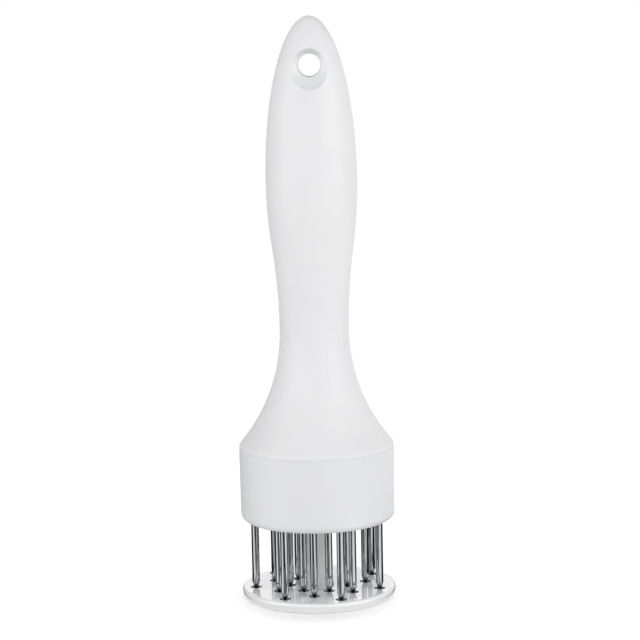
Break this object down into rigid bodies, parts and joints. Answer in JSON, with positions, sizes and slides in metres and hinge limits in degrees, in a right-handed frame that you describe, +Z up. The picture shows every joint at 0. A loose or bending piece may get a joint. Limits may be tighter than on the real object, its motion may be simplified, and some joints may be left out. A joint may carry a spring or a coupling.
{
  "type": "blade meat tenderizer",
  "caption": "Upright hand-held meat tenderizer: slim flared handle with a hang hole, collar, rings of pointed steel prongs and a sprung guard disc that slides up to bare them.",
  "frame": {"origin": "centre of the guard disc's flat underside, at rest", "axes": "+Z up the tool's axis to the top of the grip; Y along the hang hole, with -Y to the front"},
  "size_m": [0.0536, 0.0536, 0.1996],
  "materials": {
    "handle_plastic": "moulded white ABS, semi-gloss",
    "collar_plastic": "moulded white ABS, satin",
    "carrier_plastic": "moulded white acetal",
    "guard_plastic": "polished white polystyrene",
    "stem_plastic": "pale grey nylon",
    "prong_steel": "polished stainless steel",
    "spring_steel": "drawn spring wire",
    "washer_steel": "stamped stainless steel",
    "screw_steel": "zinc-plated steel"
  },
  "bodies": {
    "handle": {"handle_front": "handle_plastic", "handle_rear": "handle_plastic", "collar": "collar_plastic", "prong_carrier": "carrier_plastic", "prong_clamp": "carrier_plastic", "carrier_screws": "screw_steel", "spring_seat": "washer_steel", "return_spring": "spring_steel", "prong_outer_1": "prong_steel", "prong_outer_2": "prong_steel", "prong_outer_3": "prong_steel", "prong_outer_4": "prong_steel", "prong_outer_5": "prong_steel", "prong_outer_6": "prong_steel", "prong_outer_7": "prong_steel", "prong_middle_1": "prong_steel", "prong_middle_2": "prong_steel", "prong_middle_3": "prong_steel", "prong_middle_4": "prong_steel", "prong_middle_5": "prong_steel", "prong_middle_6": "prong_steel", "prong_middle_7": "prong_steel", "prong_inner_1": "prong_steel", "prong_inner_2": "prong_steel", "prong_inner_3": "prong_steel", "prong_inner_4": "prong_steel", "prong_inner_5": "prong_steel", "prong_inner_6": "prong_steel", "prong_inner_7": "prong_steel"},
    "guard": {"guard_disc": "guard_plastic", "guard_stem": "stem_plastic", "stem_washer": "washer_steel", "stem_screw": "screw_steel"}
  },
  "joints": [
    {"name": "guard_slide", "type": "slide", "parent": "handle", "child": "guard", "axis": [0, 0, 1], "range_m": [0, 0.02385], "stiffness_N_per_m": 500, "springref_m": -0.01, "deforming": ["return_spring"]}
  ]
}
